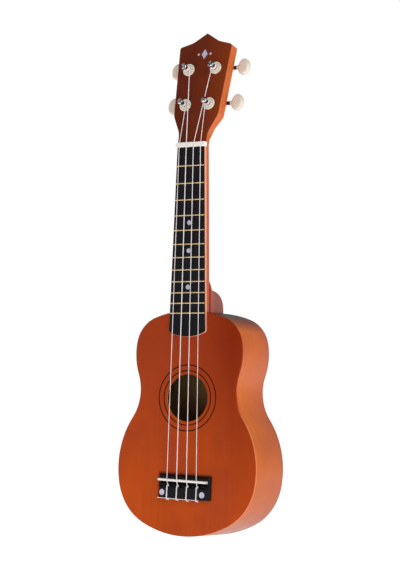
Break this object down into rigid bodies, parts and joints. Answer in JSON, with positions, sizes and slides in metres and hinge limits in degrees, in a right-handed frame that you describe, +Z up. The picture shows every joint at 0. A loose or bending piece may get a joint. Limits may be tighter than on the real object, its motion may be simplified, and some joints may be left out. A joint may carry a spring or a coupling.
{
  "type": "ukulele",
  "caption": "Soprano ukulele with a hollow figure-eight body, fretted neck, tied strings and worm-geared tuners that turn.",
  "frame": {"origin": "on the centre line where the nut meets the top of the fingerboard, level with the hanger yoke that holds the neck", "axes": "+Z up along the neck towards the headstock, +X to the right seen from the front, -Y out of the front of the instrument"},
  "size_m": [0.1664, 0.0653, 0.5265],
  "materials": {
    "soundboard_wood": "red-brown stain under satin lacquer, faint straight grain",
    "side_wood": "orange-brown stain under satin lacquer",
    "back_wood": "red-brown stain under satin lacquer",
    "neck_wood": "orange-brown stain under satin lacquer",
    "facing_wood": "dark red-brown veneer under satin lacquer",
    "fingerboard_black": "black stained hardwood, satin",
    "black_wood": "black stained hardwood, satin",
    "raw_wood": "bare pale softwood",
    "rosette_black": "thin black inlaid ring",
    "white_plastic": "moulded white, polished",
    "cream_plastic": "moulded cream, soft gloss",
    "pearl": "pearl-effect plastic",
    "nylon": "translucent white nylon",
    "fret_wire": "polished pale nickel-brass wire",
    "plated_steel": "nickel plate",
    "steel": "plated screw steel",
    "gear_brass": "cut brass"
  },
  "bodies": {
    "body_and_neck": {"soundboard": "soundboard_wood", "back_plate": "back_wood", "side_left": "side_wood", "side_right": "side_wood", "neck_block": "raw_wood", "tail_block": "raw_wood", "linings": "raw_wood", "soundboard_braces": "raw_wood", "back_braces": "raw_wood", "bridge_plate": "raw_wood", "rosette_rings": "rosette_black", "bridge": "black_wood", "saddle": "white_plastic", "bridge_screws": "steel", "bridge_nuts": "steel", "bridge_dots": "pearl", "neck": "neck_wood", "headstock_facing": "facing_wood", "headstock_inlay": "pearl", "fingerboard": "fingerboard_black", "frets": "fret_wire", "position_dots": "pearl", "nut": "white_plastic", "tuner_screws": "steel", "string_g": "nylon", "string_c": "nylon", "string_e": "nylon", "string_a": "nylon", "tuner_plate_lower_left": "plated_steel", "bushing_lower_left": "cream_plastic", "tuner_plate_upper_left": "plated_steel", "bushing_upper_left": "cream_plastic", "tuner_plate_upper_right": "plated_steel", "bushing_upper_right": "cream_plastic", "tuner_plate_lower_right": "plated_steel", "bushing_lower_right": "cream_plastic"},
    "post_lower_left": {"post_lower_left": "plated_steel", "gear_lower_left": "gear_brass", "gear_screw_lower_left": "steel", "winding_g": "nylon"},
    "button_lower_left": {"worm_lower_left": "plated_steel", "button_lower_left": "cream_plastic"},
    "post_upper_left": {"post_upper_left": "plated_steel", "gear_upper_left": "gear_brass", "gear_screw_upper_left": "steel", "winding_c": "nylon"},
    "button_upper_left": {"worm_upper_left": "plated_steel", "button_upper_left": "cream_plastic"},
    "post_upper_right": {"post_upper_right": "plated_steel", "gear_upper_right": "gear_brass", "gear_screw_upper_right": "steel", "winding_e": "nylon"},
    "button_upper_right": {"worm_upper_right": "plated_steel", "button_upper_right": "cream_plastic"},
    "post_lower_right": {"post_lower_right": "plated_steel", "gear_lower_right": "gear_brass", "gear_screw_lower_right": "steel", "winding_a": "nylon"},
    "button_lower_right": {"worm_lower_right": "plated_steel", "button_lower_right": "cream_plastic"}
  },
  "joints": [
    {"name": "post_lower_left_turn", "type": "hinge", "parent": "body_and_neck", "child": "post_lower_left", "pos_m": [-0.0143, 0.01097, 0.04616], "axis": [0, -0.9744, 0.225], "continuous": true},
    {"name": "button_lower_left_turn", "type": "hinge", "parent": "body_and_neck", "child": "button_lower_left", "pos_m": [-0.0143, 0.02839, 0.0483], "axis": [1, 0, 0], "continuous": true},
    {"name": "post_upper_left_turn", "type": "hinge", "parent": "body_and_neck", "child": "post_upper_left", "pos_m": [-0.0163, 0.0199, 0.08485], "axis": [0, -0.9744, 0.225], "continuous": true},
    {"name": "button_upper_left_turn", "type": "hinge", "parent": "body_and_neck", "child": "button_upper_left", "pos_m": [-0.0163, 0.03732, 0.08698], "axis": [1, 0, 0], "continuous": true},
    {"name": "post_upper_right_turn", "type": "hinge", "parent": "body_and_neck", "child": "post_upper_right", "pos_m": [0.0163, 0.0199, 0.08485], "axis": [0, -0.9744, 0.225], "continuous": true},
    {"name": "button_upper_right_turn", "type": "hinge", "parent": "body_and_neck", "child": "button_upper_right", "pos_m": [0.0163, 0.03732, 0.08698], "axis": [1, 0, 0], "continuous": true},
    {"name": "post_lower_right_turn", "type": "hinge", "parent": "body_and_neck", "child": "post_lower_right", "pos_m": [0.0143, 0.01097, 0.04616], "axis": [0, -0.9744, 0.225], "continuous": true},
    {"name": "button_lower_right_turn", "type": "hinge", "parent": "body_and_neck", "child": "button_lower_right", "pos_m": [0.0143, 0.02839, 0.0483], "axis": [1, 0, 0], "continuous": true}
  ],
  "couplings": [
    {"joint": "post_lower_left_turn", "follows": "button_lower_left_turn", "ratio": 0.071429},
    {"joint": "post_upper_left_turn", "follows": "button_upper_left_turn", "ratio": 0.071429},
    {"joint": "post_upper_right_turn", "follows": "button_upper_right_turn", "ratio": 0.071429},
    {"joint": "post_lower_right_turn", "follows": "button_lower_right_turn", "ratio": 0.071429}
  ]
}
